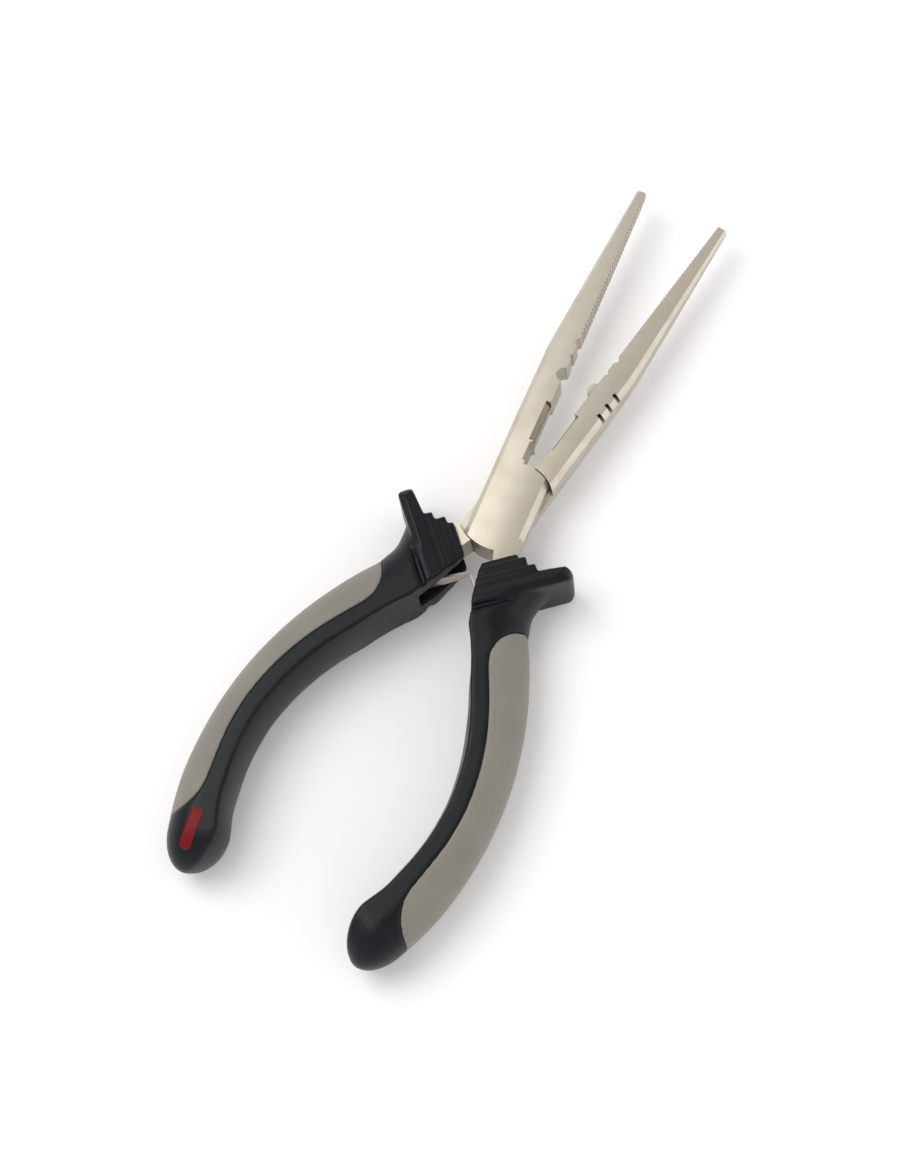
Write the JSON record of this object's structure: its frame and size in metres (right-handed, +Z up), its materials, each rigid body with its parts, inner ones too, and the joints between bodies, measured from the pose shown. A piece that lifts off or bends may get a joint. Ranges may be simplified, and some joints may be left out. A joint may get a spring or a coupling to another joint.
{
  "type": "fishing pliers",
  "caption": "Long-nose fishing pliers with a half-lap joint, leaf springs, side cutter, crimping rib, serrated jaws and two-tone grips with stepped thumb guards.",
  "frame": {"origin": "bottom centre of the open pliers' bounding box, on the surface they lie on", "axes": "+Y from the handles to the jaw tips along the bisector of the open pliers, +Z up through the lap joint, +X towards the right handle"},
  "size_m": [0.0762, 0.2142, 0.019],
  "materials": {
    "nickel_steel": "satin nickel plate",
    "rivet_steel": "turned",
    "spring_steel": "bright rolled",
    "grip_black": "fine moulded texture",
    "panel_grey": "soft matte",
    "mark_red": "pad print"
  },
  "bodies": {
    "upper": {"upper_half": "nickel_steel", "pivot_rivet": "rivet_steel", "right_grip": "grip_black", "right_grip_panel": "panel_grey", "right_spring_rivet": "rivet_steel"},
    "lower": {"lower_half": "nickel_steel", "left_grip": "grip_black", "left_grip_panel": "panel_grey", "left_spring_rivet": "rivet_steel"},
    "right_leaf": {"right_leaf_spring": "spring_steel"},
    "left_leaf": {"left_leaf_spring": "spring_steel"}
  },
  "joints": [
    {"name": "pivot", "type": "hinge", "parent": "upper", "child": "lower", "pos_m": [0, 0.01214, 0.0095], "axis": [0, 0, 1], "range_deg": [0, 12.4], "stiffness_Nm_per_rad": 0.35, "springref_deg": -20.05},
    {"name": "right_leaf_bend", "type": "hinge", "parent": "upper", "child": "right_leaf", "pos_m": [0.01066, -0.01636, 0.0095], "axis": [0, 0, 1], "range_deg": [-11.5, 0], "deforming": ["right_leaf_spring"]},
    {"name": "left_leaf_bend", "type": "hinge", "parent": "lower", "child": "left_leaf", "pos_m": [-0.01066, -0.01636, 0.0095], "axis": [0, 0, 1], "range_deg": [0, 11.5], "deforming": ["left_leaf_spring"]}
  ],
  "couplings": [
    {"joint": "right_leaf_bend", "follows": "pivot", "ratio": -0.8859},
    {"joint": "left_leaf_bend", "follows": "pivot", "ratio": 0.8859}
  ]
}
